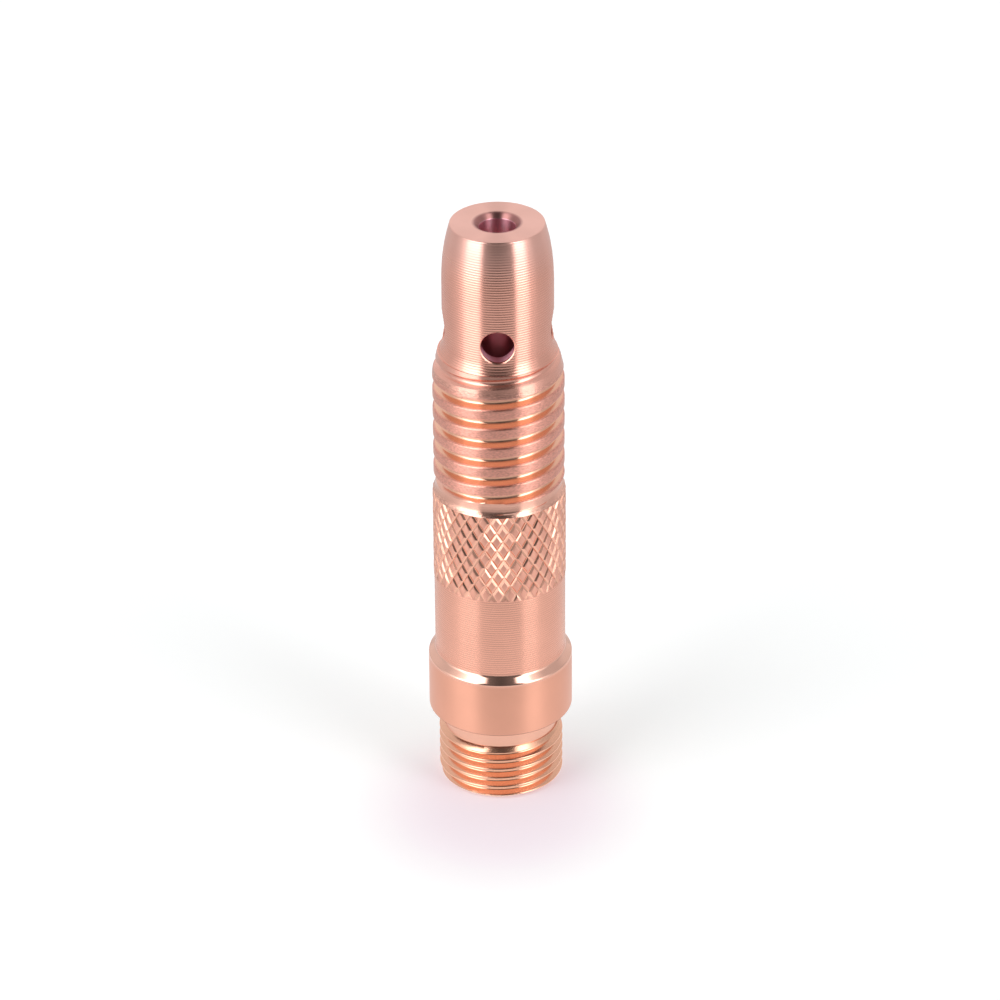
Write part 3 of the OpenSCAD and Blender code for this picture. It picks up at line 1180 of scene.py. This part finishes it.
@dataclass
class Studio:
    """A white table in a light tent, which is open on the camera's side and lit through its two front walls.

    Attributes:
        table_size: Side of the table, in metres.
        peak: Brightness of the lit walls, where 1 is white.
        walls: Stops round the horizon, as (degrees to the right of the camera, share of the peak).
        roof: Brightness overhead, as a share of the peak.
        roof_edge: Sines of the elevations between which the walls go over into the roof.
        table_tone: Colour of the table.
        table_glow: Light that the table gives back on its own, which brings it to white.
        table_painted_shadow: The same right beside the part, lower and pink: a painted shadow, tinted by a
            painted bounce from its copper.
        painted_shadow_reach: Distances over which the painted shadow fades.
        painted_shadow_shift: How far the painted shadow's middle lies to the camera's side.
        mirrored: Level at which the part mirrors the table close by.
        mirrored_far: The same farther out, below a dark wall and what the walls' full peak adds to it.
        mirrored_reach: Distances over which the one goes over into the other.
    """

    table_size: float = 3.0
    peak: float = 4.0
    walls: Sequence[Point] = (
        (-180, 0.28), (-128, 0.24), (-105, 0.21), (-90, 0.29), (-77, 0.5), (-66, 1.0), (-41, 1.0),
        (-29, 0.055), (0, 0.03), (32, 0.055), (42, 1.0), (57, 1.0), (70, 0.36), (90, 0.19), (110, 0.18),
        (128, 0.23), (180, 0.28),
    )
    roof: float = 0.034
    roof_edge: Point = (0.88, 0.95)
    table_tone: Rgb = (0.715, 0.732, 0.732)
    table_glow: Rgb = (0.37, 0.37, 0.37)
    table_painted_shadow: Rgb = (0.26, 0.175, 0.235)
    painted_shadow_reach: Point = (4.0, 14.0)
    painted_shadow_shift: float = 6.0
    mirrored: float = 0.98
    mirrored_far: Point = (0.5, 0.68)
    mirrored_reach: Point = (6.0, 82.0)

    def level_round(self, web: NodeWeb, place: Socket) -> Socket:
        """Brightness of the walls in the direction of a point or a ray, as a share of the peak.

        Args:
            web: The node tree to add to.
            place: The point or the ray's direction.

        Returns:
            The socket with the share.
        """
        way = web.add("SeparateXYZ", {0: place})
        front = web.math("MULTIPLY", way.outputs["Y"], -1.0)
        turn = web.math("ARCTAN2", way.outputs["X"], front)
        ramp = web.add("ValToRGB", {0: web.remap(turn, (-math.pi, math.pi))})
        ramp.color_ramp.interpolation = "EASE"
        stops = ramp.color_ramp.elements
        stops.remove(stops[0])
        for k, (degrees, level) in enumerate(self.walls):
            stop = stops[0] if k == 0 else stops.new((degrees + 180) / 360)
            stop.position = (degrees + 180) / 360
            stop.color = (level, level, level, 1)
        return ramp.outputs["Color"]

    def table_material(self) -> Material:
        """White table that goes to pure white around the part and keeps its soft shadow, deepened right
        beside the part by a painted pink shadow.

        Returns:
            The material.
        """
        mat = bpy.data.materials.new("pale_table")
        web = NodeWeb(mat)
        place = web.add("TexCoord", {}).outputs["Object"]
        middle = (0.0, -self.painted_shadow_shift * MM, 0.0)
        away = web.vector("DISTANCE", {0: place, 1: middle}, "Value")

        def fade(reach: Point) -> Socket:
            """From 0 to 1 between two distances from the painted shadow's middle."""
            return web.remap(away, (reach[0] * MM, reach[1] * MM), smooth=True)

        ray = web.add("LightPath", {}).outputs
        # Right beside the part the glow is lower and pink: a painted shadow, tinted by a painted bounce from
        # the copper.
        glow = web.mix_tones(fade(self.painted_shadow_reach), (*self.table_painted_shadow, 1), (*self.table_glow, 1))
        seen = web.add("Emission", {"Color": glow, "Strength": ray["Is Camera Ray"]})
        diffuse = web.add("BsdfDiffuse", {"Color": (*self.table_tone, 1)})
        plain = web.add("AddShader", {0: diffuse.outputs[0], 1: seen.outputs[0]})

        # To glossy rays the table shows only painted light: a set level near the part, and farther out a
        # level that follows the walls.
        base, share = self.mirrored_far
        far = web.math("MULTIPLY_ADD", self.level_round(web, place), share, base)
        met = web.add("Emission", {"Strength": web.mix(fade(self.mirrored_reach), self.mirrored, far)})
        either = web.add("MixShader", {0: ray["Is Glossy Ray"], 1: plain.outputs[0], 2: met.outputs[0]})
        web.add("OutputMaterial", {"Surface": either.outputs[0]})
        return mat

    def tent(self) -> bpy.types.World:
        """The tent's walls and roof, plain white where the camera looks past the table.

        Returns:
            The world.
        """
        world = bpy.data.worlds.new("light_tent")
        web = NodeWeb(world)
        place = web.add("TexCoord", {}).outputs["Generated"]
        up = web.add("SeparateXYZ", {0: place}).outputs["Z"]
        overhead = web.remap(up, self.roof_edge, smooth=True)
        level = web.mix(overhead, self.level_round(web, place), self.roof)
        lit = web.math("MULTIPLY", level, self.peak)
        seen = web.add("LightPath", {}).outputs["Is Camera Ray"]
        back = web.add("Background", {"Strength": web.mix(seen, lit, 1.0)})
        web.add("OutputWorld", {"Surface": back.outputs[0]})
        return world

    def build(self) -> None:
        """Lays the table and puts the tent round it."""
        bm = bmesh.new()
        bmesh.ops.create_grid(bm, x_segments=2, y_segments=2, size=self.table_size / 2)
        table = link_mesh(bm, "table")
        table.data.materials.append(self.table_material())
        bpy.context.scene.world = self.tent()


@dataclass
class Camera:
    """The studio camera.

    Attributes:
        elevation: Angle above the horizon.
        distance: Distance from the axis point that it looks at.
        target: Height of that point.
        focal: Focal length.
        sensor: Width of the sensor.
        roll: Turn about the line of sight.
        shift: Sideways shift of the lens, as a share of the frame.
        clip: Nearest and farthest distance that it shows, in metres.
    """

    elevation: float = 29.356
    distance: float = 347.652
    target: float = 23.757
    focal: float = 166.059
    sensor: float = 36.0
    roll: float = -0.43
    shift: float = 0.0007
    clip: Point = (0.01, 10.0)

    def place(self) -> None:
        """Creates the camera and makes it the scene's."""
        data = bpy.data.cameras.new("camera")
        data.lens = self.focal
        data.sensor_width = self.sensor
        data.clip_start, data.clip_end = self.clip
        data.shift_x = self.shift
        cam = bpy.data.objects.new("camera", data)
        bpy.context.scene.collection.objects.link(cam)
        e = math.radians(self.elevation)
        away, up = self.distance * math.cos(e), self.distance * math.sin(e)
        cam.location = Vector((0, -away, self.target + up)) * MM
        look = (Vector((0, 0, self.target * MM)) - cam.location).to_track_quat("-Z", "Y")
        cam.rotation_mode = "QUATERNION"
        cam.rotation_quaternion = look @ Matrix.Rotation(math.radians(self.roll), 4, "Z").to_quaternion()
        bpy.context.scene.camera = cam


# ---- assembly


# The tone of the bores is copper made paler and violet: painted light that lifts the dark inside the bores
# and gas holes. Their roughness is the drilled finish.
DRILLED_TONE_PAINTED_LIGHT = (250, 186, 202)
DRILLED_BORE_PAINTED_LIGHT = Zone(DRILLED_TONE_PAINTED_LIGHT, 0.4, radius=3.3)
NOSE_COPPER = CopperFinish(
    "bright_turned_copper", (247, 182, 163), roughness=0.25, anisotropy=0.9, mottle=0.06,
    ring_pitch=0.25, grit=0.0003, grit_size=0.08,
    zones=(
        # Towards the end face the nose turns rougher and paler; the paler tone is a painted highlight that
        # whitens the stripes there.
        Zone((250, 194, 180), 0.3, above=44.9, fade=1.3),
        # The mouth at the end face is darker in tone: painted shade for the dark crescent inside it.
        Zone((186, 132, 128), 0.4, radius=1.8, above=46.0, fade=0.12),
        # The bore and the exit bore carry the bores' tone, with its painted light.
        Zone(DRILLED_TONE_PAINTED_LIGHT, 0.45, radius=3.9, below=43.0),
        Zone(DRILLED_TONE_PAINTED_LIGHT, 0.35, radius=1.37),
    ),
)
BARREL_COPPER = CopperFinish(
    "satin_turned_copper", (244, 180, 158), roughness=0.25, anisotropy=0.8, mottle=0.05,
    ring_pitch=0.3, grit=0.0003, grit_size=0.08,
    zones=(
        Zone((242, 176, 151), 0.34, below=10.5, fade=0.15),
        Zone((250, 196, 176), 0.12, above=10.6, below=11.25),
        Zone((246, 188, 165), 0.24, below=6.16, fade=0.01),
        # A thin dark band in the corner under the flange is painted shade.
        Zone((120, 70, 58), 0.5, above=6.17, below=6.25, fade=0.02),
        DRILLED_BORE_PAINTED_LIGHT,
    ),
)
KNURL_COPPER = CopperFinish(
    "knurled_copper", (243, 178, 157), roughness=0.38, mottle=0.05,
    ring_pitch=0.2, ring_depth=0.0, grit=0.0015, grit_size=0.05,
    zones=(Zone((249, 188, 164), 0.15, radius=4.985, fade=0.01), DRILLED_BORE_PAINTED_LIGHT),
)
CUP_COPPER = CopperFinish(
    "coarse_thread_copper", (249, 179, 161), roughness=0.36, anisotropy=0.8, mottle=0.08, spread=0.08,
    ring_pitch=0.1, ring_depth=0.006, grit=0.008, grit_size=0.09, speckle=0.2, torn_from=4.82,
    zones=(
        Zone((254, 196, 168), 0.15, radius=4.78),
        Zone((247, 184, 166), 0.24, above=34.95, fade=0.1),
        Zone((250, 192, 172), 0.18, below=26.03),
        DRILLED_BORE_PAINTED_LIGHT,
    ),
)
REAR_COPPER = CopperFinish(
    "fine_thread_copper", (252, 191, 161), roughness=0.18, anisotropy=0.5, mottle=0.06, spread=0.04,
    ring_pitch=0.12, grit=0.0015, grit_size=0.05, speckle=0.1, zones=(DRILLED_BORE_PAINTED_LIGHT,),
)
COLLET_COPPER = CopperFinish(
    "collet_copper", (228, 154, 150), roughness=0.42, anisotropy=0.4, mottle=0.1, spread=0.05,
    ring_pitch=0.2, grit=0.0008, grit_size=0.05,
    # The collet's slender front is darker and more violet: painted shade for the dark seen through the gas
    # holes.
    zones=(Zone((216, 140, 146), 0.6, above=32.2, fade=0.6),),
)


def main() -> None:
    """Builds the part section by section, then the stage."""
    logging.basicConfig(level=logging.INFO, format="%(message)s")
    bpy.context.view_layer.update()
    sections = (
        (RearThread(), REAR_COPPER), (FlangedBarrel(), BARREL_COPPER), (KnurlBand(), KNURL_COPPER),
        (CupThread(), CUP_COPPER), (Nose(), NOSE_COPPER), (SplitCollet(), COLLET_COPPER),
    )
    for section, finish in sections:
        piece = section.build(finish.material())
        LOG.info("%s: %d faces", piece.name, len(piece.data.polygons))
    Studio().build()
    Camera().place()
    bpy.context.scene.view_settings.view_transform = "Standard"


if __name__ == "__main__":
    main()
